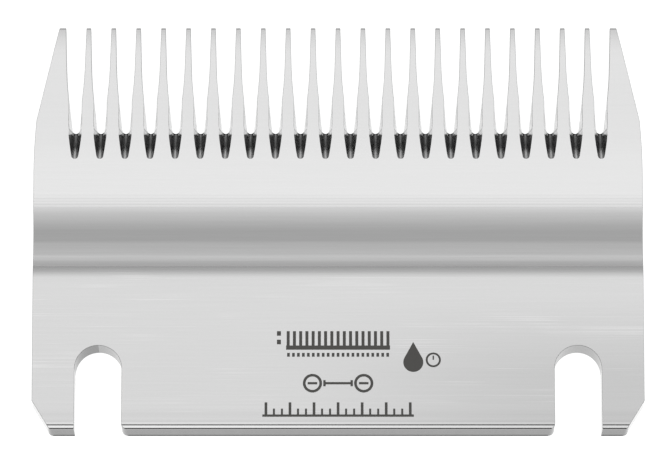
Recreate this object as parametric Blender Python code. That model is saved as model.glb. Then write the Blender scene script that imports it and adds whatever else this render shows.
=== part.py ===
"""Lower comb blade of a livestock clipping machine: one plate of ground tool steel.

The blade lies on its skin side with the cutting face up. +X runs across the teeth, +Y points to the
tooth tips and +Z is up. The origin is at the bottom centre of the blade's box. The sizes below are in
millimetres, and the mesh is made in metres.

The blank is one side profile pulled across the width, trimmed by one comb-shaped plan outline. A
rounded wheel then cuts a ramp down into the root of every gap between two teeth.
"""

import math

import bmesh
import bpy

MM = 0.001

# Driving dimensions.
WIDTH = 76.8
LENGTH = 52.25
THICKNESS = 4.0
TOOTH_COUNT = 23
TOOTH_PITCH = 3.165

# Gap between two teeth, straight through the plate: a round root, then flanks at ROOT_TAPER that bend
# between two places to TIP_TAPER.
GAP_ROOT_Y = 12.9
GAP_ROOT_RADIUS = 0.47
ROOT_TAPER = math.radians(6.5)
TIP_TAPER = math.radians(1.5)
BEND_START_Y = 16.75
BEND_END_Y = 21.25
BEND_STEPS = 3
ROOT_STEPS = 8

# Ramp that the wheel leaves behind each gap. The wheel has a rounded edge, tapered flanks and then
# its full width, and it leaves the cutting face at GULLET_Y.
GULLET_Y = 8.8
WHEEL_RADIUS = 12.0
WHEEL_EXIT_ANGLE = math.radians(47.0)
WHEEL_EDGE_RADIUS = 0.43
WHEEL_TAPER = math.radians(10.8)
WHEEL_HALF_WIDTH = 0.82
WHEEL_HEIGHT = 12.0
WHEEL_REACH = 8.2
WHEEL_LEAD = 0.3  # how far behind GULLET_Y the wheel's first station is
WHEEL_STATIONS = 12
STATION_CROWDING = 1.25  # above 1, the stations lie closer together near the gullet's end
WHEEL_EDGE_STEPS = 5

# Skin side: flat under the body, then rising to leave thin tips. The cutting face falls away at them.
RISE_START_Y = 3.2
RISE_RADIUS = 30.0
RISE_STEPS = 5
SLOPE_PASSES = 40
TIP_THICKNESS = 1.2
TIP_NOSE_RADIUS = 0.4
NOSE_STEPS = 5
TIP_FALL_LENGTH = 3.2
TIP_FALL_SLOPE = math.radians(8.5)
TIP_FALL_STEPS = 3

# Relief channel across the cutting face: a concave floor, then a rounded lip on its rear side.
CHANNEL_FRONT_Y = 2.5
CHANNEL_DEPTH = 1.0
CHANNEL_RADIUS = 9.2
CHANNEL_REAR_ANGLE = math.radians(22.0)
CHANNEL_STEPS = 14
LIP_STEPS = 6

# Sides, rear corners and rear edge. Each side draws in by SIDE_TAPER from its bend to its corner.
SIDE_TAPER = 0.17
SIDE_BEND_Y = 7.0
SIDE_BEND_RADIUS = 82.0
SIDE_BEND_STEPS = 4
SHOULDER_Y = 13.9
OUTER_TIP_HALF_SPAN = 35.35
OUTER_TIP_SHOULDER = (35.78, 24.5)
CORNER_X = 2.2
CORNER_Y = 3.6
CORNER_RADIUS = 0.6
CORNER_STEPS = 4
REAR_BREAK_Y = 0.38
REAR_BREAK_Z = 0.2

# Open-ended screw slots. The inner side of each mouth is rounded, and the lug's side is square.
SLOT_SPACING = 60.0
SLOT_WIDTH = 5.9
SLOT_DEPTH = 10.7
SLOT_MOUTH_RADIUS = 0.75
MOUTH_STEPS = 4
CROWN_STEPS = 24

TIP_Y = LENGTH / 2
REAR_Y = -LENGTH / 2
OVERCUT = 1.0  # how far a cutter runs past the faces that it opens


def clear_scene():
    for obj in list(bpy.data.objects):
        bpy.data.objects.remove(obj, do_unlink=True)


def arc(centre, radius, start, end, steps):
    """Points on a circle from the start angle to the end angle, both ends included."""
    angles = [start + (end - start) * i / steps for i in range(steps + 1)]
    return [(centre[0] + radius * math.cos(a), centre[1] + radius * math.sin(a)) for a in angles]


def mirrored(points):
    """The same points on the other side of the centre line, in reverse order."""
    return [(-x, y) for x, y in reversed(points)]


def mesh_object(name, bm):
    bmesh.ops.recalc_face_normals(bm, faces=bm.faces)
    mesh = bpy.data.meshes.new(name)
    bm.to_mesh(mesh)
    bm.free()
    obj = bpy.data.objects.new(name, mesh)
    bpy.context.scene.collection.objects.link(obj)
    return obj


def add_loft(bm, rings):
    """A closed shell through equal rings of points, given in millimetres."""
    loops = [[bm.verts.new([c * MM for c in point]) for point in ring] for ring in rings]
    bm.faces.new(loops[0])
    bm.faces.new(loops[-1])
    for low, high in zip(loops, loops[1:]):
        for i in range(len(low)):
            j = (i + 1) % len(low)
            bm.faces.new((low[i], low[j], high[j], high[i]))


def channel_curve():
    """The channel's side profile from its front edge to its rear edge."""
    floor_z = THICKNESS - CHANNEL_DEPTH
    front_angle = math.acos(1 - CHANNEL_DEPTH / CHANNEL_RADIUS)
    floor_y = CHANNEL_FRONT_Y - CHANNEL_RADIUS * math.sin(front_angle)
    down = -math.pi / 2
    concave = arc((floor_y, floor_z + CHANNEL_RADIUS), CHANNEL_RADIUS,
                  down + front_angle, down - CHANNEL_REAR_ANGLE, CHANNEL_STEPS)
    end_y, end_z = concave[-1]
    lip_radius = (THICKNESS - end_z) / (1 - math.cos(CHANNEL_REAR_ANGLE))
    lip_y = end_y - lip_radius * math.sin(CHANNEL_REAR_ANGLE)
    up = math.pi / 2
    lip = arc((lip_y, THICKNESS - lip_radius), lip_radius, up - CHANNEL_REAR_ANGLE, up, LIP_STEPS)
    return concave + lip[1:]


def skin_curve():
    """The skin side's profile from the flat body out to the round nose of the tips."""
    down = -math.pi / 2
    slope = rise_angle()
    nose = (TIP_Y - TIP_NOSE_RADIUS, tip_nose_z())
    rise = arc((RISE_START_Y, RISE_RADIUS), RISE_RADIUS, down, down + slope, RISE_STEPS)
    return rise + arc(nose, TIP_NOSE_RADIUS, down + slope, 0.0, NOSE_STEPS)


def tip_fall_curve():
    """The cutting face at the tips, from the very tip back to where the face is flat."""
    radius = TIP_FALL_LENGTH / math.sin(TIP_FALL_SLOPE)
    up = math.pi / 2
    return arc((TIP_Y - TIP_FALL_LENGTH, THICKNESS - radius), radius,
               up - TIP_FALL_SLOPE, up, TIP_FALL_STEPS)


def tip_nose_z():
    """Height of the centre of the tips' round nose."""
    return tip_fall_curve()[0][1] - TIP_THICKNESS + TIP_NOSE_RADIUS


def rise_angle():
    """The slope of the skin side, which must run from the blend straight to the tips' nose."""
    nose_y = TIP_Y - TIP_NOSE_RADIUS
    nose_z = tip_nose_z()
    angle = 0.0
    for _ in range(SLOPE_PASSES):
        start_y = RISE_START_Y + RISE_RADIUS * math.sin(angle)
        start_z = RISE_RADIUS * (1 - math.cos(angle))
        end_y = nose_y + TIP_NOSE_RADIUS * math.sin(angle)
        end_z = nose_z - TIP_NOSE_RADIUS * math.cos(angle)
        angle = math.atan2(end_z - start_z, end_y - start_y)
    return angle


def side_profile():
    rear = [(REAR_Y, THICKNESS - REAR_BREAK_Z), (REAR_Y, 0.0)]
    land = [(REAR_Y + REAR_BREAK_Y, THICKNESS)]
    return rear + skin_curve() + tip_fall_curve() + channel_curve() + land


def gap_flank():
    """A gap's right flank from its mouth back to its round root."""
    touch_x = GAP_ROOT_RADIUS * math.cos(ROOT_TAPER)
    touch_y = GAP_ROOT_Y + GAP_ROOT_RADIUS - GAP_ROOT_RADIUS * math.sin(ROOT_TAPER)
    start_x = touch_x + (BEND_START_Y - touch_y) * math.tan(ROOT_TAPER)
    radius = (BEND_END_Y - BEND_START_Y) / (math.sin(ROOT_TAPER) - math.sin(TIP_TAPER))
    centre = (start_x - radius * math.cos(ROOT_TAPER),
              BEND_START_Y + radius * math.sin(ROOT_TAPER))
    bend = arc(centre, radius, -TIP_TAPER, -ROOT_TAPER, BEND_STEPS)
    mouth_x = bend[0][0] + (TIP_Y - bend[0][1]) * math.tan(TIP_TAPER)
    return [(mouth_x, TIP_Y)] + bend


def gap_outline(x):
    """One gap's plan outline from its right mouth round the root to its left mouth."""
    flank = gap_flank()
    root = arc((0.0, GAP_ROOT_Y + GAP_ROOT_RADIUS), GAP_ROOT_RADIUS,
               -ROOT_TAPER, -math.pi + ROOT_TAPER, ROOT_STEPS)
    return [(x + u, v) for u, v in flank + root + mirrored(flank)]


def gap_centres():
    return [(i - (TOOTH_COUNT - 2) / 2) * TOOTH_PITCH for i in range(TOOTH_COUNT - 1)]


def left_slot():
    """The left screw slot from its lug round the crown to the rounded inner side of its mouth."""
    x = -SLOT_SPACING / 2
    half = SLOT_WIDTH / 2
    crown = arc((x, REAR_Y + SLOT_DEPTH - half), half, math.pi, 0.0, CROWN_STEPS)
    mouth = arc((x + half + SLOT_MOUTH_RADIUS, REAR_Y + SLOT_MOUTH_RADIUS), SLOT_MOUTH_RADIUS,
                math.pi, 1.5 * math.pi, MOUTH_STEPS)
    return [(x - half, REAR_Y)] + crown + mouth


def right_side():
    """The right edge from the rear corner to the outer tooth's tip."""
    half = WIDTH / 2
    rear_x = half - SIDE_TAPER
    turn = math.atan2(CORNER_Y, CORNER_X)
    start_x = rear_x - CORNER_X - CORNER_RADIUS * math.tan(turn / 2)
    corner = arc((start_x, REAR_Y + CORNER_RADIUS), CORNER_RADIUS,
                 -math.pi / 2, -math.pi / 2 + turn, CORNER_STEPS)
    bend_angle = math.asin((SHOULDER_Y - SIDE_BEND_Y) / SIDE_BEND_RADIUS)
    bend = arc((half - SIDE_BEND_RADIUS, SIDE_BEND_Y), SIDE_BEND_RADIUS,
               0.0, bend_angle, SIDE_BEND_STEPS)
    tip = [OUTER_TIP_SHOULDER, (OUTER_TIP_HALF_SPAN, TIP_Y)]
    return corner + [(rear_x, REAR_Y + CORNER_Y)] + bend + tip


def plan_outline():
    """The whole comb seen from above, counter-clockwise from the left slot."""
    rear = left_slot() + mirrored(left_slot())
    gaps = [point for x in reversed(gap_centres()) for point in gap_outline(x)]
    return rear + right_side() + gaps + mirrored(right_side())


def wheel_section():
    """The wheel's rounded section, as (x, height above its edge), taller than the plate."""
    touch_angle = math.pi / 2 - WHEEL_TAPER
    edge = arc((0.0, WHEEL_EDGE_RADIUS), WHEEL_EDGE_RADIUS,
               -math.pi / 2, -math.pi / 2 + touch_angle, WHEEL_EDGE_STEPS)
    touch_x, touch_h = edge[-1]
    full_h = touch_h + (WHEEL_HALF_WIDTH - touch_x) / math.tan(WHEEL_TAPER)
    flank = [(WHEEL_HALF_WIDTH, full_h), (WHEEL_HALF_WIDTH, WHEEL_HEIGHT)]
    half = edge[1:] + flank
    return [edge[0]] + half + mirrored(half)


def wheel_edge_z(y):
    """Height of the wheel's edge at y: an arc that meets the cutting face at GULLET_Y."""
    axis_y = GULLET_Y + WHEEL_RADIUS * math.sin(WHEEL_EXIT_ANGLE)
    axis_z = THICKNESS + WHEEL_RADIUS * math.cos(WHEEL_EXIT_ANGLE)
    return axis_z - math.sqrt(WHEEL_RADIUS ** 2 - (y - axis_y) ** 2)


def ramp_cutter():
    bm = bmesh.new()
    section = wheel_section()
    first_y = GULLET_Y - WHEEL_LEAD
    last_y = GULLET_Y + WHEEL_REACH
    steps = [i / (WHEEL_STATIONS - 1) for i in range(WHEEL_STATIONS)]
    stations = [first_y + (last_y - first_y) * step ** STATION_CROWDING for step in steps]
    for x in gap_centres():
        rings = [[(x + u, y, wheel_edge_z(y) + h) for u, h in section] for y in stations]
        add_loft(bm, rings)
    return mesh_object("ramp_cutter", bm)


def blank():
    bm = bmesh.new()
    reach = WIDTH / 2 + OVERCUT
    profile = side_profile()
    add_loft(bm, [[(x, y, z) for y, z in profile] for x in (-reach, reach)])
    return mesh_object("comb_blade", bm)


def outline_cutter():
    bm = bmesh.new()
    plan = plan_outline()
    add_loft(bm, [[(x, y, z) for x, y in plan] for z in (-OVERCUT, THICKNESS + OVERCUT)])
    return mesh_object("outline_cutter", bm)


def hide_cutter(cutter):
    cutter.hide_render = True
    cutter.display_type = "WIRE"


def boolean(target, cutter, operation):
    hide_cutter(cutter)
    modifier = target.modifiers.new(cutter.name, "BOOLEAN")
    modifier.operation = operation
    modifier.solver = "EXACT"
    modifier.object = cutter


def steel_material():
    material = bpy.data.materials.new("ground_tool_steel")
    material.use_nodes = True
    shader = material.node_tree.nodes["Principled BSDF"]
    shader.inputs["Base Color"].default_value = (0.60, 0.60, 0.59, 1.0)
    shader.inputs["Metallic"].default_value = 1.0
    shader.inputs["Roughness"].default_value = 0.32
    return material


def build():
    clear_scene()
    blade = blank()
    boolean(blade, outline_cutter(), "INTERSECT")
    boolean(blade, ramp_cutter(), "DIFFERENCE")
    blade.data.materials.append(steel_material())


build()
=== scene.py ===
"""Lower comb blade of a livestock clipping machine, finished for display.

The script is laid out as an add-on and run as a script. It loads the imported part, cuts a fine copy of
the blade in the part's own frame (+X across the teeth, +Y to the tips, +Z out of the cutting face),
gives every ground, milled, cut and etched surface its own finish, and sets up a light table.
"""

import math

import bmesh
import bpy
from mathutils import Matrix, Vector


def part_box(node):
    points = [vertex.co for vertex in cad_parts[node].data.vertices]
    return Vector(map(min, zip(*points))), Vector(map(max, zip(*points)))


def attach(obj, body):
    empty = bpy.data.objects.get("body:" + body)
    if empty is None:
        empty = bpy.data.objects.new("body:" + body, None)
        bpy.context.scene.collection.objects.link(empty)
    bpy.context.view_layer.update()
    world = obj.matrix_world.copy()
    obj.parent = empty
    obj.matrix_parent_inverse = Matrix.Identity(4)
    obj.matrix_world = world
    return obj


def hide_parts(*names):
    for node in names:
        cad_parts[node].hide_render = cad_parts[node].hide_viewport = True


bl_info = {
    "name": "Livestock comb blade",
    "version": (1, 0, 0),
    "blender": (4, 5, 0),
    "location": "3D View > Sidebar > Comb blade",
    "description": "Builds a finished lower comb blade around its packed part",
    "category": "Object",
}

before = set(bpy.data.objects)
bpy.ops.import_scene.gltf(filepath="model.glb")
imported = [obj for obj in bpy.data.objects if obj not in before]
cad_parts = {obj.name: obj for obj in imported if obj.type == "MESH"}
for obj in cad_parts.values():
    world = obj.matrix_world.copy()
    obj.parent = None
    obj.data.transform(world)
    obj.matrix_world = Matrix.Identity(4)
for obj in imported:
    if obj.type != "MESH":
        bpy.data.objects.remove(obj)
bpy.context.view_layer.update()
BLADE_LOW, BLADE_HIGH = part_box("comb_blade")
HALF_WIDTH = BLADE_HIGH.x
TIP_Y = BLADE_HIGH.y
REAR_Y = BLADE_LOW.y
TOP_Z = BLADE_HIGH.z
MM = 0.001
OVERCUT = 1 * MM  # how far a cutter runs past the faces that it opens
LONG_STRETCH = 2 * MM  # stretches of the outline longer than this were ground straight
WELD = 0.0005 * MM  # points closer than this are one point
BREAK_ANGLE = math.radians(8)  # edges sharper than this are broken
CREASE_ANGLE = math.radians(16)  # edges sharper than this stay crisp in the shading
UP = math.pi / 2
DOWN = -math.pi / 2
WHEEL_HEIGHT = 3 * TOP_Z  # clears the blade wherever the wheel cuts
WHEEL_LEAD = 0.3 * MM  # how far before the ramp's end the wheel's cut starts
WHEEL_STATIONS = 32  # sections along the shape that the wheel sweeps
WHEEL_CROWDING = 1.25  # above 1, the stations crowd towards the ramp's end
SLOPE_PASSES = 40  # rounds in which the skin side's slope settles
TABLE_SIZE = 4.0  # metres
TABLE_REFLECTION = 0.15  # share of its colour that the lit table also reflects
SENSOR_WIDTH = 36.0  # millimetres


# Settings


def linear(hex_colour):
    """An sRGB hex colour as linear red, green and blue."""
    channels = [int(hex_colour[i:i + 2], 16) / 255 for i in (1, 3, 5)]
    return [c / 12.92 if c <= 0.04045 else ((c + 0.055) / 1.055) ** 2.4 for c in channels]


def length(name, description, default):
    return bpy.props.FloatProperty(
        name=name, description=description, default=default, unit="LENGTH", precision=6)


def angle(name, description, degrees):
    return bpy.props.FloatProperty(
        name=name, description=description, default=math.radians(degrees), subtype="ANGLE")


def colour(name, description, hex_colour):
    return bpy.props.FloatVectorProperty(
        name=name, description=description, default=linear(hex_colour), size=3, subtype="COLOR")


class TeethSettings(bpy.types.PropertyGroup):
    """The row of teeth and the wheel that cuts their roots."""
    count: bpy.props.IntProperty(name="Teeth", description="Number of teeth", default=23, min=2)
    pitch: length("Pitch", "Distance from tooth to tooth", 3.165 * MM)
    gap_root_y: length("Gap root", "Where the through gap ends", 12.9 * MM)
    gap_root_radius: length("Gap root radius", "Radius of the gap's round root", 0.47 * MM)
    bend_start_y: length("Flank bend start", "Where the gap's flanks start to bend", 16.75 * MM)
    bend_end_y: length("Flank bend end", "Where the gap's flanks are straight again", 21.25 * MM)
    root_taper: angle("Root taper", "Taper of the flanks at the root", 6.5)
    tip_taper: angle("Tip taper", "Taper of the flanks at the tips", 1.5)
    gullet_y: length("Gullet end", "Where the ramp leaves the cutting face", 8.8 * MM)
    wheel_radius: length("Wheel radius", "Radius of the wheel that cuts the ramp", 12.0 * MM)
    wheel_exit: angle("Ramp angle", "Slope of the ramp at the cutting face", 47.0)
    wheel_edge_radius: length("Wheel edge", "Radius of the wheel's rounded edge", 0.43 * MM)
    wheel_taper: angle("Wheel taper", "Taper of the wheel's flanks", 10.8)
    wheel_half_width: length("Wheel half width", "Half the wheel's full width", 0.82 * MM)
    wheel_reach: length("Wheel reach", "How far the wheel runs towards the tips", 8.2 * MM)
    tip_thickness: length("Tip thickness", "Thickness of the teeth at the tips", 1.2 * MM)
    tip_nose_radius: length("Tip nose", "Radius of the tips' skin side", 0.4 * MM)
    tip_fall: angle("Tip fall", "Slope of the cutting face at the very tips", 8.5)
    tip_fall_length: length("Tip fall length", "Length over which the tips fall away", 3.2 * MM)
    tip_break: length("Tip break", "Size of the broken edge at the tips' ends", 0.16 * MM)


class PlateSettings(bpy.types.PropertyGroup):
    """The plate behind the teeth."""
    rise_start_y: length("Rise start", "Where the skin side starts to rise", 3.2 * MM)
    rise_radius: length("Rise radius", "Radius that blends the rise in", 30.0 * MM)
    channel_front_y: length("Channel front", "Front edge of the relief channel", 2.5 * MM)
    channel_depth: length("Channel depth", "Depth of the relief channel", 1.0 * MM)
    channel_radius: length("Channel radius", "Radius of the channel's floor", 9.2 * MM)
    channel_rear: angle("Channel rear wall", "Slope where the rear lip begins", 22.0)
    side_taper: length("Side taper", "How much each side draws in by the rear corner", 0.17 * MM)
    side_bend_y: length("Side bend", "Where the sides start to turn in", 7.0 * MM)
    side_bend_radius: length("Side bend radius", "Radius of the sides' bend", 82.0 * MM)
    shoulder_y: length("Shoulder", "Where the outer teeth start to slant", 13.9 * MM)
    outer_tip_x: length("Outer tip", "Half the span between the outer tips", 35.35 * MM)
    tip_corner: length("Outer tip corner", "Size of the outer tips' eased corner", 1.6 * MM)
    corner_x: length("Corner width", "Cut corner's size across the blade", 2.2 * MM)
    corner_y: length("Corner length", "Cut corner's size along the blade", 3.6 * MM)
    corner_radius: length("Corner radius", "Radius between a cut corner and the rear edge", 0.6 * MM)
    rear_break_y: length("Rear chamfer run", "Where the rear chamfer meets the land", 0.42 * MM)
    rear_break_z: length("Rear chamfer drop", "Depth of the rear chamfer's lower edge", 0.14 * MM)
    slot_spacing: length("Slot spacing", "Distance between the screw slots", 60.0 * MM)
    slot_width: length("Slot width", "Width of a screw slot", 5.9 * MM)
    slot_depth: length("Slot depth", "Depth of a screw slot", 10.7 * MM)
    slot_mouth_radius: length("Slot mouth", "Radius at the inner side of a slot's mouth", 0.75 * MM)
    edge_break: length("Edge break", "Width of the deburred edges", 0.03 * MM)
    burr_width: length("Burr line width", "Width of the line along the rear chamfer", 0.135 * MM)
    burr_depth: length("Burr line depth", "Depth of the line along the rear chamfer", 0.02 * MM)
    roll_run: length("Roll start", "Where the rolled edge starts below the chamfer", 0.142 * MM)
    roll_depth: length("Roll depth", "Depth of the rolled edge's lower side", 0.26 * MM)
    burnish_lean: length("Burnish lean", "How far the burnished band leans in", 0.04 * MM)
    burnish_depth: length("Burnish depth", "Depth of the burnished band's lower side", 0.6 * MM)
    # The torn band at the rear face's foot is dark as painted shadow where the blade meets the table.
    tear_and_shadow_height: length("Tear", "Height of the torn band at the rear face's foot", 0.52 * MM)


class MarkSettings(bpy.types.PropertyGroup):
    """The laser-etched marks on the rear land."""
    depth: length("Etch depth", "Depth of the etched marks", 0.03 * MM)
    stroke: length("Stroke", "Width of the marks' thin strokes", 0.3 * MM)
    comb_y: length("Comb sign", "Foot of the comb sign", -16.0 * MM)
    row_y: length("Dot row", "Foot of the row of dots", -16.9 * MM)
    screws_y: length("Screw sign", "Centre line of the screw sign", -20.3 * MM)
    ruler_y: length("Ruler", "Foot of the ruler", -24.6 * MM)
    oil_x: length("Oil sign across", "Centre of the oil drop, across the blade", 9.4 * MM)
    oil_y: length("Oil sign along", "Centre of the oil drop, along the blade", -17.3 * MM)


class FinishSettings(bpy.types.PropertyGroup):
    """Colours of the steel's finishes."""
    front: colour("Cutting land", "Lapped steel of the teeth and front land", "#EAEAEA")
    rear: colour("Rear land", "Surface-ground steel", "#DFDFDF")
    channel: colour("Relief channel", "Satin milled steel", "#E8E8E8")
    gullet: colour("Gullet", "Wheel-cut steel", "#E4E4E4")
    edge: colour("Blanked edge", "Steel with hardening scale", "#585858")
    # The dark edge-break finish is also the painted shadow along the rear face's foot.
    burr_and_shadow: colour("Edge break", "Torn and tumbled steel", "#3C3C3C")
    side: colour("Ground side", "Ground sides, corners and slot walls", "#D6D6D6")
    burnished: colour("Burnished wall", "Walls rubbed smooth by the blanking die", "#909090")
    skin: colour("Skin side", "Polished steel", "#D0D0D0")
    etch: colour("Laser etch", "Oxide left by the laser", "#4B4A48")


class StageSettings(bpy.types.PropertyGroup):
    """The light table and the camera."""
    table: colour("Table", "Lit table top", "#FFFFFF")
    tilt: angle("Camera tilt", "Tilt from straight above, towards the rear", 15.0)
    distance: length("Camera distance", "Distance from the cutting face", 0.70)
    lens: bpy.props.FloatProperty(name="Lens", description="Focal length in millimetres", default=300.0)
    aim_x: length("Aim X", "Point the camera looks at, across the blade", -0.51 * MM)
    aim_y: length("Aim Y", "Point the camera looks at, along the blade", -0.885 * MM)


SETTINGS = {
    "comb_teeth": TeethSettings,
    "comb_plate": PlateSettings,
    "comb_marks": MarkSettings,
    "comb_finish": FinishSettings,
    "comb_stage": StageSettings,
}


# Materials


def add_node(tree, kind, inputs=None, **settings):
    """Adds a node. Each input is a value, or the socket that feeds it."""
    node = tree.nodes.new(kind)
    for name, value in settings.items():
        setattr(node, name, value)
    for key, value in (inputs or {}).items():
        if isinstance(value, bpy.types.NodeSocket):
            tree.links.new(value, node.inputs[key])
        else:
            node.inputs[key].default_value = value
    return node


MIX_A = 6  # the colour sockets of a Mix node set to RGBA
MIX_B = 7
MIX_RESULT = 2


def fill_ramp(ramp, stops):
    """Spreads (place, tone) stops along a colour ramp."""
    first, last = stops[0][0], stops[-1][0]
    while len(ramp.elements) < len(stops):
        ramp.elements.new(1.0)
    for element, (place, tone) in zip(ramp.elements, stops):
        element.position = (place - first) / (last - first)
        element.color = [tone, tone, tone, 1.0]


def tone_mix(tree, blend, factor, first, second):
    """The two colours, mixed."""
    return add_node(tree, "ShaderNodeMix", {
        "Factor": factor, MIX_A: first, MIX_B: second},
        data_type="RGBA", blend_type=blend).outputs[MIX_RESULT]


def new_material(name, roughness):
    """A material with its node tree and its shader."""
    material = bpy.data.materials.new(name)
    material.use_nodes = True
    shader = material.node_tree.nodes["Principled BSDF"]
    shader.inputs["Roughness"].default_value = roughness
    return material, material.node_tree, shader


def tone_range(base, swing):
    """The base colour, darkened and paled by the given share."""
    low = [c * (1 - swing) for c in base] + [1.0]
    high = [min(1.0, c * (1 + swing)) for c in base] + [1.0]
    return low, high


def stretched_noise(tree, place, size, detail):
    """Noise whose grain has the given size along X, Y and Z."""
    at = add_node(tree, "ShaderNodeMapping", {"Vector": place, "Scale": [1 / s for s in size]})
    return add_node(tree, "ShaderNodeTexNoise", {
        "Vector": at.outputs["Vector"], "Scale": 1.0, "Detail": detail}).outputs["Fac"]


# The grinding wheel's few stray lines: thin noise across the blade, kept only where patches of
# broader noise let it through.
STRAY_LINE_SIZE = (90 * MM, 0.11 * MM, 90 * MM)
STRAY_PATCH_SIZE = (11 * MM, 2.2 * MM, 9 * MM)
STRAY_FROM = 0.36  # noise level where the lines start to show
STRAY_FULL = 0.5  # noise level where they show in full
# Painted shade that darkens the right rear corner: X where it starts and where it is full, then Y.
PAINTED_SHADE_X = (-12 * MM, 30 * MM)
PAINTED_SHADE_Y = (-9 * MM, -19 * MM)
BLACK = [0.0, 0.0, 0.0, 1.0]
WHITE = [1.0, 1.0, 1.0, 1.0]


def add_stripes_and_painted_shade(tree, spot, tone, bands_and_shade):
    """The tone, multiplied by stripes across the blade: bands that the tools left, and painted shade.
    """
    along = add_node(tree, "ShaderNodeMapRange", {
        "Value": spot.outputs["Y"],
        "From Min": bands_and_shade[0][0] * MM, "From Max": bands_and_shade[-1][0] * MM})
    stripes_and_shade = add_node(tree, "ShaderNodeValToRGB", {"Fac": along.outputs["Result"]})
    fill_ramp(stripes_and_shade.color_ramp, bands_and_shade)
    return tone_mix(tree, "MULTIPLY", 1.0, tone, stripes_and_shade.outputs["Color"])


def add_painted_corner_shade(tree, spot, tone, share):
    """The tone, darkened towards the blade's right rear corner by painted shade."""
    right = add_node(tree, "ShaderNodeMapRange", {
        "Value": spot.outputs["X"], "From Min": PAINTED_SHADE_X[0], "From Max": PAINTED_SHADE_X[1]},
        interpolation_type="SMOOTHSTEP")
    back = add_node(tree, "ShaderNodeMapRange", {
        "Value": spot.outputs["Y"], "From Min": PAINTED_SHADE_Y[0], "From Max": PAINTED_SHADE_Y[1],
        "To Max": share})
    corner_shade = add_node(tree, "ShaderNodeMath", {
        0: right.outputs["Result"], 1: back.outputs["Result"]}, operation="MULTIPLY")
    return tone_mix(tree, "MIX", corner_shade.outputs[0], tone, BLACK)


def add_stray_lines(tree, place, tone, share):
    """The tone, paler along a few broken lines across the blade."""
    across = stretched_noise(tree, place, STRAY_LINE_SIZE, detail=0.0)
    patches = stretched_noise(tree, place, STRAY_PATCH_SIZE, detail=1.0)
    both = add_node(tree, "ShaderNodeMath", {0: across, 1: patches}, operation="MULTIPLY")
    few = add_node(tree, "ShaderNodeMapRange", {
        "Value": both.outputs[0], "From Min": STRAY_FROM, "From Max": STRAY_FULL,
        "To Max": share})
    return tone_mix(tree, "MIX", few.outputs["Result"], tone, WHITE)


def steel(name, base, roughness, line_size, line_slope, swing,
          bands_and_shade=None, stray_lines=0.0, painted_corner_shade=0.0, grazing_shine=1.0):
    """Bare steel whose tool marks are fine lines; line_size is their size along X, Y and Z.

    line_slope is the lines' height as a share of their least size, and swing is how far they move
    the tone. The bands are (Y in millimetres, tone) stops for stripes across the blade, partly what
    the tool left and partly painted shade; stray_lines is how much paler the grinding wheel's few
    stray lines are; the corner shade is how much painted shade darkens the steel towards the blade's
    right rear corner; and grazing_shine is how much light it gives back when it is seen almost
    edge-on.
    """
    material, tree, shader = new_material(name, roughness)
    shader.inputs["Metallic"].default_value = 1.0
    shader.inputs["Specular Tint"].default_value = [grazing_shine] * 3 + [1.0]
    place = add_node(tree, "ShaderNodeTexCoord").outputs["Object"]
    lines = stretched_noise(tree, place, line_size, detail=3.0)
    height = add_node(tree, "ShaderNodeBump", {
        "Height": lines, "Strength": 1.0, "Distance": line_slope * min(line_size)})
    tree.links.new(height.outputs["Normal"], shader.inputs["Normal"])
    tone = tone_mix(tree, "MIX", lines, *tone_range(base, swing))
    spot = add_node(tree, "ShaderNodeSeparateXYZ", {0: place})
    if bands_and_shade:
        tone = add_stripes_and_painted_shade(tree, spot, tone, bands_and_shade)
    if painted_corner_shade:
        tone = add_painted_corner_shade(tree, spot, tone, painted_corner_shade)
    if stray_lines:
        tone = add_stray_lines(tree, place, tone, stray_lines)
    tree.links.new(tone, shader.inputs["Base Color"])
    return material


def etched_oxide(base, roughness, grain_size, swing):
    """Matt oxide with a fine grain."""
    material, tree, shader = new_material("laser_etched_oxide", roughness)
    place = add_node(tree, "ShaderNodeTexCoord").outputs["Object"]
    grain = add_node(tree, "ShaderNodeTexNoise", {"Vector": place, "Scale": 1 / grain_size})
    tone = tone_mix(tree, "MIX", grain.outputs["Fac"], *tone_range(base, swing))
    tree.links.new(tone, shader.inputs["Base Color"])
    return material


# Stripes across the blade, as (Y in millimetres, tone). Grinding leaves a few coarser lines beside
# the channel and the rear edge, and the form cutter leaves bands in the channel. The rest is painted
# shade: it darkens the channel's hollow, the channel's rear lip and the teeth towards their tips, and
# it makes the ramps darker than the tooth flanks beyond them, with a dark line at the gaps' roots.
FRONT_LINES_AND_PAINTED_SHADE = [(2.5, 0.86), (2.7, 0.94), (2.85, 0.83), (3.05, 0.97), (3.25, 0.9), (3.45, 0.98),
               (3.6, 0.9), (3.8, 1.0), (4.0, 0.96), (4.2, 1.0), (8.5, 0.995), (11.5, 0.965),
               (16.0, 0.955), (22.0, 0.965), (25.0, 0.94), (26.0, 0.9)]
CHANNEL_BANDS_AND_PAINTED_SHADE = [(-5.0, 0.93), (-4.5, 0.9), (-4.2, 1.0), (-3.7, 0.98), (-3.4, 0.8), (-3.0, 0.74),
                 (-2.6, 0.66), (-2.0, 0.6), (-1.6, 0.49), (-0.4, 0.45), (0.4, 0.49), (1.2, 0.56),
                 (1.8, 0.62), (2.4, 0.74)]
GULLET_PAINTED_SHADE = [(8.8, 0.6), (9.4, 0.6), (10.6, 0.62), (12.2, 0.62), (12.75, 0.68), (12.85, 0.18),
                (12.95, 0.25), (13.0, 0.85), (13.3, 0.9)]
REAR_LINES_AND_PAINTED_SHADE = [(-25.75, 1.0), (-25.5, 1.0), (-25.35, 1.0), (-25.2, 0.86), (-24.9, 0.93), (-24.3, 0.9),
              (-23.5, 0.95), (-20.0, 0.95), (-9.0, 0.98), (-6.6, 0.97), (-5.9, 0.87), (-5.2, 0.9)]


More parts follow.
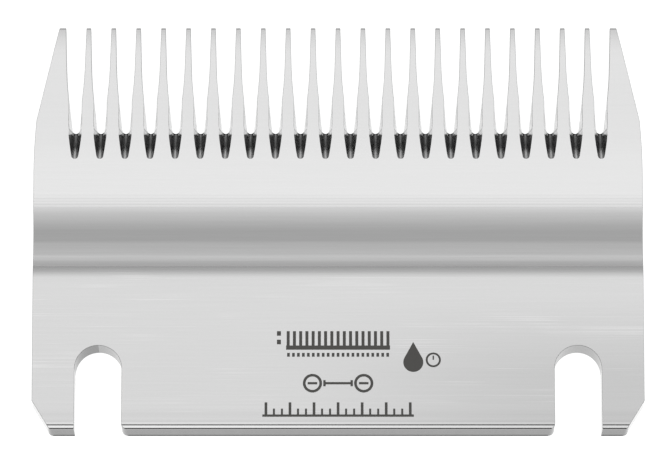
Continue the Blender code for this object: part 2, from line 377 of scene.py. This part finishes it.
def make_finishes(finish):
    """One material for each way that the steel's surfaces were made.

    Tool marks are a few hundredths of a millimetre wide on real steel, and so is the laser's grain.
    They are drawn 0.1 to 0.5 mm wide, as coarse as they need to be to show.
    """
    return {
        # Lapped flat so that the cutter slides on it: the palest and evenest face of the blade, with
        # painted shade that darkens it a little towards the tips.
        "front": steel(
            "lapped_cutting_land", finish.front, roughness=0.22,
            line_size=(12 * MM, 0.16 * MM, 9 * MM), line_slope=0.02, swing=0.02,
            bands_and_shade=FRONT_LINES_AND_PAINTED_SHADE),
        # Surface ground across the blade: pale and even, with faint straight lines, and painted shade
        # along the channel's rear lip and towards the right rear corner.
        "rear": steel(
            "surface_ground_rear_land", finish.rear, roughness=0.26,
            line_size=(12 * MM, 0.14 * MM, 9 * MM), line_slope=0.03, swing=0.03,
            bands_and_shade=REAR_LINES_AND_PAINTED_SHADE, stray_lines=0.22, painted_corner_shade=0.15),
        # Cut by a form cutter that ran across the blade: a satin hollow with lengthwise bands, and
        # painted shade that darkens the middle of the hollow.
        "channel": steel(
            "form_milled_channel", finish.channel, roughness=0.40,
            line_size=(12 * MM, 0.16 * MM, 9 * MM), line_slope=0.05, swing=0.05,
            bands_and_shade=CHANNEL_BANDS_AND_PAINTED_SHADE),
        # Cut by a narrow wheel that plunged between the teeth: ramps with scratches along them,
        # darkened by painted shade, with a painted shade line at the gaps' roots.
        "gullet": steel(
            "wheel_cut_gullet", finish.gullet, roughness=0.22,
            line_size=(0.1 * MM, 1.6 * MM, 1.6 * MM), line_slope=0.12, swing=0.6,
            bands_and_shade=GULLET_PAINTED_SHADE),
        # Blanked, hardened and left unground: smooth grey scale, pale only where seen edge-on.
        "edge": steel(
            "hardened_blanked_edge", finish.edge, roughness=0.18,
            line_size=(0.5 * MM, 0.5 * MM, 6 * MM), line_slope=0.02, swing=0.2),
        # Torn by the blanking die and tumbled: a rough dark line along the edges, with no shine. The
        # same dark finish at the foot of the rear face is painted shadow where the blade meets the
        # table.
        "burr_and_shadow": steel(
            "tumbled_edge_break_and_painted_shadow", finish.burr_and_shadow, roughness=0.6,
            line_size=(0.3 * MM, 0.3 * MM, 0.3 * MM), line_slope=0.05, swing=0.2,
            grazing_shine=0.15),
        # Ground after blanking: bright straight sides, corners and slot walls.
        "side": steel(
            "ground_side", finish.side, roughness=0.2,
            line_size=(0.2 * MM, 0.2 * MM, 9 * MM), line_slope=0.02, swing=0.05),
        # Rubbed smooth by the blanking die as it passed: a little paler than the scaled walls.
        "burnished": steel(
            "die_burnished_wall", finish.burnished, roughness=0.2,
            line_size=(0.3 * MM, 0.3 * MM, 6 * MM), line_slope=0.02, swing=0.06),
        # Polished so that it glides over the skin: bright, with fine lines across the blade.
        "skin": steel(
            "polished_skin_side", finish.skin, roughness=0.2,
            line_size=(12 * MM, 0.16 * MM, 9 * MM), line_slope=0.03, swing=0.02),
        # Burnt into the land by a laser: matt, nearly black, with a fine grain.
        "etch": etched_oxide(finish.etch, roughness=0.8, grain_size=0.12 * MM, swing=0.2),
    }


# Shapes


def arc(centre, radius, start, end, steps):
    """Points on a circle from the start angle to the end angle, both ends included."""
    angles = [start + (end - start) * i / steps for i in range(steps + 1)]
    return [(centre[0] + radius * math.cos(a), centre[1] + radius * math.sin(a)) for a in angles]


def mirrored(points):
    """The same points on the other side of the centre line, in reverse order."""
    return [(-x, y) for x, y in reversed(points)]


def add_loft(bm, rings, finishes=None):
    """A closed shell through equal rings of points. finishes gives each side face's material index."""
    loops = [[bm.verts.new(point) for point in ring] for ring in rings]
    bm.faces.new(loops[0])
    bm.faces.new(loops[-1])
    for low, high in zip(loops, loops[1:]):
        for i in range(len(low)):
            j = (i + 1) % len(low)
            face = bm.faces.new((low[i], low[j], high[j], high[i]))
            face.material_index = finishes[i] if finishes else 0


def new_piece(name, bm, materials):
    bmesh.ops.recalc_face_normals(bm, faces=bm.faces)
    mesh = bpy.data.meshes.new(name)
    bm.to_mesh(mesh)
    bm.free()
    for material in materials:
        mesh.materials.append(material)
    obj = bpy.data.objects.new(name, mesh)
    bpy.context.scene.collection.objects.link(obj)
    return obj


def settle(obj):
    """Turns an object's modifiers into plain mesh."""
    graph = bpy.context.evaluated_depsgraph_get()
    mesh = bpy.data.meshes.new_from_object(obj.evaluated_get(graph))
    obj.modifiers.clear()
    obj.data = mesh
    return obj


def cut(target, cutter, operation="DIFFERENCE"):
    """Cuts a piece with a cutter, whose material stays on the new faces, and removes the cutter."""
    modifier = target.modifiers.new(cutter.name, "BOOLEAN")
    modifier.operation = operation
    modifier.solver = "EXACT"
    modifier.material_mode = "TRANSFER"
    modifier.object = cutter
    settle(target)
    bpy.data.objects.remove(cutter, do_unlink=True)


def row_tree():
    """Geometry nodes that repeat a shape along X at an even pitch."""
    tree = bpy.data.node_groups.new("even_row", "GeometryNodeTree")
    tree.interface.new_socket("Shape", in_out="INPUT", socket_type="NodeSocketGeometry")
    tree.interface.new_socket("Count", in_out="INPUT", socket_type="NodeSocketInt")
    tree.interface.new_socket("Pitch", in_out="INPUT", socket_type="NodeSocketFloat")
    tree.interface.new_socket("Finish", in_out="INPUT", socket_type="NodeSocketMaterial")
    tree.interface.new_socket("Row", in_out="OUTPUT", socket_type="NodeSocketGeometry")
    start = add_node(tree, "NodeGroupInput").outputs
    gaps = add_node(tree, "ShaderNodeMath", {0: start["Count"], 1: 1.0}, operation="SUBTRACT")
    span = add_node(tree, "ShaderNodeMath", {
        0: gaps.outputs[0], 1: start["Pitch"]}, operation="MULTIPLY")
    first_x = add_node(tree, "ShaderNodeMath", {0: span.outputs[0], 1: -0.5}, operation="MULTIPLY")
    first = add_node(tree, "ShaderNodeCombineXYZ", {"X": first_x.outputs[0]})
    step = add_node(tree, "ShaderNodeCombineXYZ", {"X": start["Pitch"]})
    line = add_node(tree, "GeometryNodeMeshLine", {
        "Count": start["Count"], "Start Location": first.outputs[0], "Offset": step.outputs[0]})
    copies = add_node(tree, "GeometryNodeInstanceOnPoints", {
        "Points": line.outputs["Mesh"], "Instance": start["Shape"]})
    solid = add_node(tree, "GeometryNodeRealizeInstances", {"Geometry": copies.outputs["Instances"]})
    finished = add_node(tree, "GeometryNodeSetMaterial", {
        "Geometry": solid.outputs["Geometry"], "Material": start["Finish"]})
    add_node(tree, "NodeGroupOutput", {"Row": finished.outputs["Geometry"]})
    return tree


def make_row(obj, count, pitch, material):
    """Repeats an object's shape in a row centred on X = 0."""
    tree = bpy.data.node_groups.get("even_row") or row_tree()
    modifier = obj.modifiers.new("row", "NODES")
    modifier.node_group = tree
    values = {"Count": count, "Pitch": pitch, "Finish": material}
    for item in tree.interface.items_tree:
        if item.in_out == "INPUT" and item.name in values:
            modifier[item.identifier] = values[item.name]
    return settle(obj)


# The blade


def channel_curve(plate):
    """The channel's side profile: a concave floor, then a rounded lip on its rear side."""
    front_angle = math.acos(1 - plate.channel_depth / plate.channel_radius)
    floor = (plate.channel_front_y - plate.channel_radius * math.sin(front_angle),
             TOP_Z - plate.channel_depth + plate.channel_radius)
    concave = arc(floor, plate.channel_radius, DOWN + front_angle, DOWN - plate.channel_rear,
                  steps=48)
    end_y, end_z = concave[-1]
    lip_radius = (TOP_Z - end_z) / (1 - math.cos(plate.channel_rear))
    lip_y = end_y - lip_radius * math.sin(plate.channel_rear)
    lip = arc((lip_y, TOP_Z - lip_radius), lip_radius, UP - plate.channel_rear, UP, steps=24)
    return concave, lip[1:]


def tip_fall_curve(teeth):
    """The cutting face at the tips, from the very tip back to where the face is flat."""
    radius = teeth.tip_fall_length / math.sin(teeth.tip_fall)
    centre = (TIP_Y - teeth.tip_fall_length, TOP_Z - radius)
    return arc(centre, radius, UP - teeth.tip_fall, UP, steps=10)


def skin_curve(teeth, plate):
    """The skin side from its flat body out to the round nose of the tips."""
    nose = (TIP_Y - teeth.tip_nose_radius,
            tip_fall_curve(teeth)[0][1] - teeth.tip_thickness + teeth.tip_nose_radius)
    slope = 0.0
    for _ in range(SLOPE_PASSES):  # settles on the slope that runs straight to the nose
        start_y = plate.rise_start_y + plate.rise_radius * math.sin(slope)
        start_z = plate.rise_radius * (1 - math.cos(slope))
        end_y = nose[0] + teeth.tip_nose_radius * math.sin(slope)
        end_z = nose[1] - teeth.tip_nose_radius * math.cos(slope)
        slope = math.atan2(end_z - start_z, end_y - start_y)
    rise = arc((plate.rise_start_y, plate.rise_radius), plate.rise_radius, DOWN, DOWN + slope,
               steps=10)
    return rise + arc(nose, teeth.tip_nose_radius, DOWN + slope, 0.0, steps=8)


def side_profile(teeth, plate):
    """The blade's side profile, with the finish of the stretch that starts at each point."""
    concave, lip = channel_curve(plate)
    chamfer_y = REAR_Y + plate.rear_break_y
    tips = tip_fall_curve(teeth)
    tip_z = tips[0][1]
    broken = (TIP_Y - teeth.tip_break, tip_z + teeth.tip_break * math.tan(teeth.tip_fall))
    stretches = [
        ([(REAR_Y + plate.roll_run, TOP_Z - plate.rear_break_z)], "burr_and_shadow"),
        ([(REAR_Y + plate.burnish_lean, TOP_Z - plate.roll_depth)], "burnished"),
        ([(REAR_Y, TOP_Z - plate.burnish_depth)], "edge"),
        # the torn band at the foot, dark as painted shadow where the blade meets the table
        ([(REAR_Y, plate.tear_and_shadow_height)], "burr_and_shadow"),
        ([(REAR_Y, 0.0)] + skin_curve(teeth, plate), "skin"),
        ([(TIP_Y, tip_z - teeth.tip_break)], "burr_and_shadow"),
        ([broken] + tips[1:], "front"),
        (concave[:-1], "channel"),
        (concave[-1:] + lip, "rear"),
        ([(chamfer_y + plate.burr_width, TOP_Z)], "burr_and_shadow"),
        ([(chamfer_y + plate.burr_width / 2, TOP_Z - plate.burr_depth)], "burr_and_shadow"),
        ([(chamfer_y, TOP_Z)], "rear"),
    ]
    points = [point for stretch, _ in stretches for point in stretch]
    finishes = [finish for stretch, finish in stretches for _ in stretch]
    return points, finishes


def right_side(plate):
    """The right edge from the rear corner to the outer tooth's tip."""
    rear_x = HALF_WIDTH - plate.side_taper
    turn = math.atan2(plate.corner_y, plate.corner_x)
    radius = plate.corner_radius
    start_x = rear_x - plate.corner_x - radius * math.tan(turn / 2)
    corner = arc((start_x, REAR_Y + radius), radius, DOWN, DOWN + turn, steps=10)
    corner.append((rear_x, REAR_Y + plate.corner_y))
    bend_angle = math.asin((plate.shoulder_y - plate.side_bend_y) / plate.side_bend_radius)
    bend = arc((HALF_WIDTH - plate.side_bend_radius, plate.side_bend_y), plate.side_bend_radius,
               0.0, bend_angle, steps=12)
    shoulder = bend[-1]
    slant = (shoulder[0] - plate.outer_tip_x) / (TIP_Y - shoulder[1])
    eased = (plate.outer_tip_x + slant * plate.tip_corner, TIP_Y - plate.tip_corner)
    return corner + bend + [eased, (plate.outer_tip_x, TIP_Y)]


def left_slot(plate):
    """The left screw slot from its lug round the crown to the rounded inner side of its mouth."""
    x = -plate.slot_spacing / 2
    half = plate.slot_width / 2
    radius = plate.slot_mouth_radius
    crown = arc((x, REAR_Y + plate.slot_depth - half), half, math.pi, 0.0, steps=64)
    mouth = arc((x + half + radius, REAR_Y + radius), radius, math.pi, 1.5 * math.pi, steps=10)
    return [(x - half, REAR_Y)] + crown + mouth


def plan_outline(plate):
    """The blank seen from above, counter-clockwise from the left slot, before its gaps are cut."""
    slot = left_slot(plate)
    sides = right_side(plate)
    return slot + mirrored(slot) + sides + mirrored(sides)


def gap_flank(teeth):
    """The through gap's right flank, from past the tips back to its round root."""
    centre_y = teeth.gap_root_y + teeth.gap_root_radius
    touch_x = teeth.gap_root_radius * math.cos(teeth.root_taper)
    touch_y = centre_y - teeth.gap_root_radius * math.sin(teeth.root_taper)
    start_x = touch_x + (teeth.bend_start_y - touch_y) * math.tan(teeth.root_taper)
    radius = ((teeth.bend_end_y - teeth.bend_start_y)
              / (math.sin(teeth.root_taper) - math.sin(teeth.tip_taper)))
    centre = (start_x - radius * math.cos(teeth.root_taper),
              teeth.bend_start_y + radius * math.sin(teeth.root_taper))
    bend = arc(centre, radius, -teeth.tip_taper, -teeth.root_taper, steps=12)
    mouth_y = TIP_Y + OVERCUT
    mouth_x = bend[0][0] + (mouth_y - bend[0][1]) * math.tan(teeth.tip_taper)
    return [(mouth_x, mouth_y)] + bend


def gap_outline(teeth):
    """The through gap's plan outline, open past the tips."""
    flank = gap_flank(teeth)
    centre = (0.0, teeth.gap_root_y + teeth.gap_root_radius)
    root = arc(centre, teeth.gap_root_radius, -teeth.root_taper, -math.pi + teeth.root_taper,
               steps=16)
    return flank + root + mirrored(flank)


def wheel_section(teeth):
    """The wheel's rounded section, as (x, height above its edge), taller than the plate."""
    edge = arc((0.0, teeth.wheel_edge_radius), teeth.wheel_edge_radius,
               DOWN, -teeth.wheel_taper, steps=10)
    touch_x, touch_h = edge[-1]
    full_h = touch_h + (teeth.wheel_half_width - touch_x) / math.tan(teeth.wheel_taper)
    flank = [(teeth.wheel_half_width, full_h), (teeth.wheel_half_width, WHEEL_HEIGHT)]
    half = edge[1:] + flank
    return [edge[0]] + half + mirrored(half)


def wheel_edge_z(y, teeth):
    """Height of the wheel's edge at y: an arc that meets the cutting face at the gullet's end."""
    axis_y = teeth.gullet_y + teeth.wheel_radius * math.sin(teeth.wheel_exit)
    axis_z = TOP_Z + teeth.wheel_radius * math.cos(teeth.wheel_exit)
    return axis_z - math.sqrt(teeth.wheel_radius ** 2 - (y - axis_y) ** 2)


def make_blank(teeth, plate, finishes):
    """The side profile drawn out across the whole width, with each stretch's finish."""
    names = list(finishes)
    points, stretches = side_profile(teeth, plate)
    reach = HALF_WIDTH + OVERCUT
    bm = bmesh.new()
    rings = [[(x, y, z) for y, z in points] for x in (-reach, reach)]
    add_loft(bm, rings, [names.index(finish) for finish in stretches])
    return new_piece("comb_blade_steel", bm, finishes.values())


def wall_finish(plate, start, end):
    """How the wall between two points of the outline was made.

    The slots' crowns are burnished, but for the outer half of the left one.
    """
    x = (start[0] + end[0]) / 2
    y = (start[1] + end[1]) / 2
    slot_end_y = REAR_Y + plate.slot_depth
    if math.dist(start, end) > LONG_STRETCH or y > slot_end_y:
        return "side"
    if y > slot_end_y - plate.slot_width / 2 and x > -plate.slot_spacing / 2:
        return "burnished"
    return "edge"


def make_outline_cutter(plate, finishes):
    """The comb's outline without its gaps."""
    names = list(finishes)
    bm = bmesh.new()
    plan = plan_outline(plate)
    walls = [wall_finish(plate, start, end) for start, end in zip(plan, plan[1:] + plan[:1])]
    rings = [[(x, y, z) for x, y in plan] for z in (-OVERCUT, TOP_Z + OVERCUT)]
    add_loft(bm, rings, [names.index(wall) for wall in walls])
    return new_piece("outline_cutter", bm, finishes.values())


def make_gap_cutters(teeth, finishes):
    """The row of cutters for the through gaps."""
    bm = bmesh.new()
    plan = gap_outline(teeth)
    add_loft(bm, [[(x, y, z) for x, y in plan] for z in (-OVERCUT, TOP_Z + OVERCUT)])
    gap = new_piece("gap_cutters", bm, [])
    return make_row(gap, teeth.count - 1, teeth.pitch, finishes["edge"])


def make_wheel_cutters(teeth, finishes):
    """The row of shapes that the wheel sweeps, one over each gap's root."""
    first_y = teeth.gullet_y - WHEEL_LEAD
    last_y = teeth.gullet_y + teeth.wheel_reach
    shares = [(i / (WHEEL_STATIONS - 1)) ** WHEEL_CROWDING for i in range(WHEEL_STATIONS)]
    stations = [first_y + (last_y - first_y) * share for share in shares]
    section = wheel_section(teeth)
    bm = bmesh.new()
    add_loft(bm, [[(x, y, wheel_edge_z(y, teeth) + h) for x, h in section] for y in stations])
    wheel = new_piece("wheel_cutters", bm, [])
    return make_row(wheel, teeth.count - 1, teeth.pitch, finishes["gullet"])


def ease_edges(blade, width, names, gap_root_y):
    """Breaks the edges between the faces and the walls, and gives the breaks their own finish.

    The wheel's cut has its edges broken only beside the through gaps.
    """
    gullet = names.index("gullet")
    faces = {names.index(finish) for finish in ("front", "rear", "channel", "gullet", "skin")}
    walls = {names.index(finish) for finish in ("edge", "side", "burnished", "gullet")}
    bm = bmesh.new()
    bm.from_mesh(blade.data)
    bmesh.ops.remove_doubles(bm, verts=bm.verts, dist=WELD)
    bmesh.ops.dissolve_degenerate(bm, edges=bm.edges, dist=WELD)
    sharp = []
    for edge in bm.edges:
        meeting = {face.material_index for face in edge.link_faces}
        differ = len(meeting) > 1 and meeting & faces and meeting & walls
        beside_gap = min(vertex.co.y for vertex in edge.verts) > gap_root_y
        broken = differ and (gullet not in meeting or beside_gap)
        if broken and edge.calc_face_angle() > BREAK_ANGLE:
            sharp.append(edge)
    bmesh.ops.bevel(bm, geom=sharp, offset=width, segments=2, profile=0.5, affect="EDGES",
                    clamp_overlap=False, material=names.index("burr_and_shadow"))
    for vertex in bm.verts:  # where breaks cross, they stay within the blade's faces
        vertex.co.x = max(-HALF_WIDTH, min(vertex.co.x, HALF_WIDTH))
        vertex.co.z = max(0.0, min(vertex.co.z, TOP_Z))
    bm.to_mesh(blade.data)
    bm.free()


def shade(blade):
    """Shades round stretches smooth, with a crisp line at each corner and change of finish."""
    bm = bmesh.new()
    bm.from_mesh(blade.data)
    for face in bm.faces:
        face.smooth = True
    for edge in bm.edges:
        changes = len({face.material_index for face in edge.link_faces}) > 1
        edge.smooth = not changes and edge.calc_face_angle(math.pi) < CREASE_ANGLE
    bm.to_mesh(blade.data)
    bm.free()
    weights = blade.modifiers.new("even_normals", "WEIGHTED_NORMAL")
    weights.keep_sharp = True
    settle(blade)


def make_blade(teeth, plate, finishes):
    """The blank, cut to its outline, with its gaps, ramps and broken edges."""
    blade = make_blank(teeth, plate, finishes)
    cut(blade, make_outline_cutter(plate, finishes), "INTERSECT")
    cut(blade, make_gap_cutters(teeth, finishes))
    cut(blade, make_wheel_cutters(teeth, finishes))
    ease_edges(blade, plate.edge_break, list(finishes), teeth.gap_root_y)
    return blade


# The etched marks. None of them is lettering: a comb, a row of dots, two screws with the distance
# between them, a ruler, and an oil drop with a clock. Widths run across the blade, heights along it.
SPINE_WIDTH = 13.0 * MM  # the comb sign's back
SPINE_HEIGHT = 0.55 * MM
COMB_TEETH_LIFT = 0.4 * MM  # from the foot of the spine to the foot of the sign's teeth
DASH_X = -7.4 * MM  # two dashes beside the comb sign
DASH_LIFTS = (0.7 * MM, 1.8 * MM)
DASH_WIDTH = 0.5 * MM
DASH_HEIGHT = 0.6 * MM
SCREW_X = 3.2 * MM
SCREW_OUTER = 1.2 * MM
SCREW_INNER = 0.86 * MM
SCREW_SLOT = 1.2 * MM  # length of the line across a screw's head
SCREW_GAP = 3.4 * MM  # length of the line between the two screws
GAP_END_HEIGHT = 0.8 * MM  # the short strokes at that line's ends
RULER_WIDTH = 18.9 * MM
DROP_FALL = 0.3 * MM  # how far the drop's round end lies below the sign's centre line
DROP_RADIUS = 1.25 * MM
DROP_REACH = 2.6 * MM
CLOCK_X = 2.5 * MM  # from the drop's centre to the clock's
CLOCK_OUTER = 0.95 * MM
CLOCK_INNER = 0.7 * MM
HAND_WIDTH = 0.18 * MM
HAND_HEIGHT = 0.55 * MM


def add_block(bm, mark, x, y, width, height):
    """A rectangular stroke whose foot is centred at x, y."""
    corners = [(x - width / 2, y), (x + width / 2, y), (x + width / 2, y + height),
               (x - width / 2, y + height)]
    add_mark(bm, mark, corners)


def add_mark(bm, mark, outline):
    """A stroke with the given outline, as deep as the etching."""
    add_loft(bm, [[(x, y, z) for x, y in outline] for z in (TOP_Z - mark.depth, TOP_Z + OVERCUT)])


def add_ring(bm, mark, centre, outer, inner):
    """A round stroke between two radii."""
    low, high = TOP_Z - mark.depth, TOP_Z + OVERCUT
    loops = []
    for radius, z in ((outer, low), (outer, high), (inner, high), (inner, low)):
        circle = arc(centre, radius, 0.0, 2 * math.pi, steps=48)[:-1]
        loops.append([bm.verts.new((x, y, z)) for x, y in circle])
    for first, second in zip(loops, loops[1:] + loops[:1]):
        for i in range(len(first)):
            j = (i + 1) % len(first)
            bm.faces.new((first[i], first[j], second[j], second[i]))


def drop_outline(x, y, radius, reach):
    """A teardrop: a round bottom and two flanks that meet at the top."""
    lean = math.asin(radius / reach)
    return arc((x, y), radius, lean, -math.pi - lean, steps=40) + [(x, y + reach)]


def mark_row(name, mark, finish, count, pitch, y, width, height):
    """A row of equal strokes across the blade."""
    bm = bmesh.new()
    add_block(bm, mark, 0.0, y, width, height)
    return make_row(new_piece(name, bm, []), count, pitch, finish)


def make_bold_marks(mark, finish):
    """Strokes that stand on their own, or that the fine strokes join."""
    stroke = mark.stroke
    screws_foot = mark.screws_y - stroke / 2
    bm = bmesh.new()
    add_block(bm, mark, 0.0, mark.comb_y, SPINE_WIDTH, SPINE_HEIGHT)
    add_block(bm, mark, 0.0, screws_foot, SCREW_GAP, stroke)
    add_block(bm, mark, 0.0, mark.ruler_y, RULER_WIDTH, stroke)
    for x in (-SCREW_X, SCREW_X):
        add_ring(bm, mark, (x, mark.screws_y), SCREW_OUTER, SCREW_INNER)
        add_block(bm, mark, x, screws_foot, SCREW_SLOT, stroke)
    add_mark(bm, mark, drop_outline(mark.oil_x, mark.oil_y - DROP_FALL, DROP_RADIUS, DROP_REACH))
    clock = (mark.oil_x + CLOCK_X, mark.oil_y)
    add_ring(bm, mark, clock, CLOCK_OUTER, CLOCK_INNER)
    add_block(bm, mark, clock[0], clock[1], HAND_WIDTH, HAND_HEIGHT)
    for lift in DASH_LIFTS:
        add_block(bm, mark, DASH_X, mark.comb_y + lift, DASH_WIDTH, DASH_HEIGHT)
    return new_piece("bold_marks", bm, [finish])


def etch_marks(blade, mark, finish):
    """Sinks the marks into the rear land."""
    stroke = mark.stroke
    cut(blade, make_bold_marks(mark, finish))
    comb_y = mark.comb_y + COMB_TEETH_LIFT
    gap_end_y = mark.screws_y - GAP_END_HEIGHT / 2
    ruler_y = mark.ruler_y + stroke / 2
    rows = [  # name, count, pitch, foot, width and height
        ("comb_teeth_sign", 17, 0.78 * MM, comb_y, 0.38 * MM, 2.0 * MM),
        ("dot_row", 21, 0.62 * MM, mark.row_y, 0.34 * MM, 0.5 * MM),
        ("screw_distance_ends", 2, SCREW_GAP, gap_end_y, stroke, GAP_END_HEIGHT),
        ("ruler_ticks", 19, 1.0 * MM, ruler_y, 0.26 * MM, 0.9 * MM),
        ("ruler_long_ticks", 7, 3.0 * MM, ruler_y, 0.34 * MM, 1.7 * MM),
    ]
    for name, count, pitch, y, width, height in rows:
        cut(blade, mark_row(name, mark, finish, count, pitch, y, width, height))


# The stage


def make_table(stage):
    """A frosted white panel lit from below, which shows no shadows."""
    bm = bmesh.new()
    bmesh.ops.create_grid(bm, x_segments=1, y_segments=1, size=TABLE_SIZE)
    # Frosted acrylic with lamps under it: an even white that carries no shadow.
    material, _, shader = new_material("lit_frosted_acrylic", roughness=0.9)
    shader.inputs["Base Color"].default_value = [TABLE_REFLECTION * c for c in stage.table] + [1.0]
    shader.inputs["Emission Color"].default_value = [*stage.table, 1.0]
    shader.inputs["Emission Strength"].default_value = 1.0
    table = new_piece("light_table_floor", bm, [material])


# Light level by how far a direction points along Y, and by how far it points up. The light is
# bright overhead and behind the camera, weaker ahead of the tips, and dark near the horizon.
SKY_ALONG = [(-1.0, 0.6), (-0.87, 0.95), (-0.59, 1.22), (-0.3, 1.14), (0.0, 1.02), (0.26, 0.98),
             (0.37, 0.95), (0.53, 0.82), (0.67, 0.58), (0.79, 0.50), (1.0, 0.48)]
SKY_HEIGHT = [(0.0, 0.12), (0.15, 0.2), (0.5, 1.0), (1.0, 1.0)]


def make_sky():
    """Soft studio light whose level is one ramp along Y times another by height."""
    world = bpy.data.worlds.new("soft_studio")
    world.use_nodes = True
    tree = world.node_tree
    direction = add_node(tree, "ShaderNodeTexCoord").outputs["Generated"]
    parts = add_node(tree, "ShaderNodeSeparateXYZ", {0: direction})
    brightest = max(level for _, level in SKY_ALONG)
    tones = []
    for axis, levels in (("Y", SKY_ALONG), ("Z", SKY_HEIGHT)):
        reach = add_node(tree, "ShaderNodeMapRange", {
            "Value": parts.outputs[axis], "From Min": levels[0][0], "From Max": levels[-1][0]})
        ramp = add_node(tree, "ShaderNodeValToRGB", {"Fac": reach.outputs["Result"]})
        # A ramp's colours stay within 0 to 1, so the brightest level goes into the strength.
        fill_ramp(ramp.color_ramp, [(place, level / brightest) for place, level in levels])
        tones.append(ramp.outputs["Color"])
    background = tree.nodes["Background"]
    tree.links.new(tone_mix(tree, "MULTIPLY", 1.0, *tones), background.inputs["Color"])
    background.inputs["Strength"].default_value = brightest ** 2
    bpy.context.scene.world = world


def make_camera(stage):
    """The camera, tilted towards the rear from straight above its aim."""
    camera = bpy.data.cameras.new("camera")
    camera.lens = stage.lens
    camera.sensor_width = SENSOR_WIDTH
    obj = bpy.data.objects.new("camera", camera)
    obj.rotation_euler = (stage.tilt, 0.0, 0.0)
    obj.location = (stage.aim_x,
                    stage.aim_y - stage.distance * math.sin(stage.tilt),
                    TOP_Z + stage.distance * math.cos(stage.tilt))
    bpy.context.scene.collection.objects.link(obj)
    bpy.context.scene.camera = obj


# Operators and panel


class COMB_OT_make_blade(bpy.types.Operator):
    """Cut the comb blade from its blank, and etch and finish it"""
    bl_idname = "comb.make_blade"
    bl_label = "Comb blade"

    def execute(self, context):
        scene = context.scene
        finishes = make_finishes(scene.comb_finish)
        blade = make_blade(scene.comb_teeth, scene.comb_plate, finishes)
        etch_marks(blade, scene.comb_marks, finishes["etch"])
        shade(blade)
        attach(blade, "root")
        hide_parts("comb_blade")
        return {"FINISHED"}


class COMB_OT_make_stage(bpy.types.Operator):
    """Set up the light table, the soft light and the camera"""
    bl_idname = "comb.make_stage"
    bl_label = "Stage"

    def execute(self, context):
        stage = context.scene.comb_stage
        make_table(stage)
        make_sky()
        make_camera(stage)
        context.scene.view_settings.view_transform = "Standard"
        return {"FINISHED"}


class COMB_PT_panel(bpy.types.Panel):
    """Lists the pieces"""
    bl_label = "Comb blade"
    bl_idname = "COMB_PT_panel"
    bl_space_type = "VIEW_3D"
    bl_region_type = "UI"
    bl_category = "Comb blade"

    def draw(self, context):
        for operator in OPERATORS:
            self.layout.operator(operator.bl_idname)


OPERATORS = (COMB_OT_make_stage, COMB_OT_make_blade)
CLASSES = (*SETTINGS.values(), *OPERATORS, COMB_PT_panel)


def register():
    for item in CLASSES:
        bpy.utils.register_class(item)
    for name, group in SETTINGS.items():
        setattr(bpy.types.Scene, name, bpy.props.PointerProperty(type=group))


def unregister():
    for name in SETTINGS:
        delattr(bpy.types.Scene, name)
    for item in reversed(CLASSES):
        bpy.utils.unregister_class(item)


def main():
    register()
    bpy.ops.comb.make_stage()
    bpy.ops.comb.make_blade()


if __name__ == "__main__":
    main()
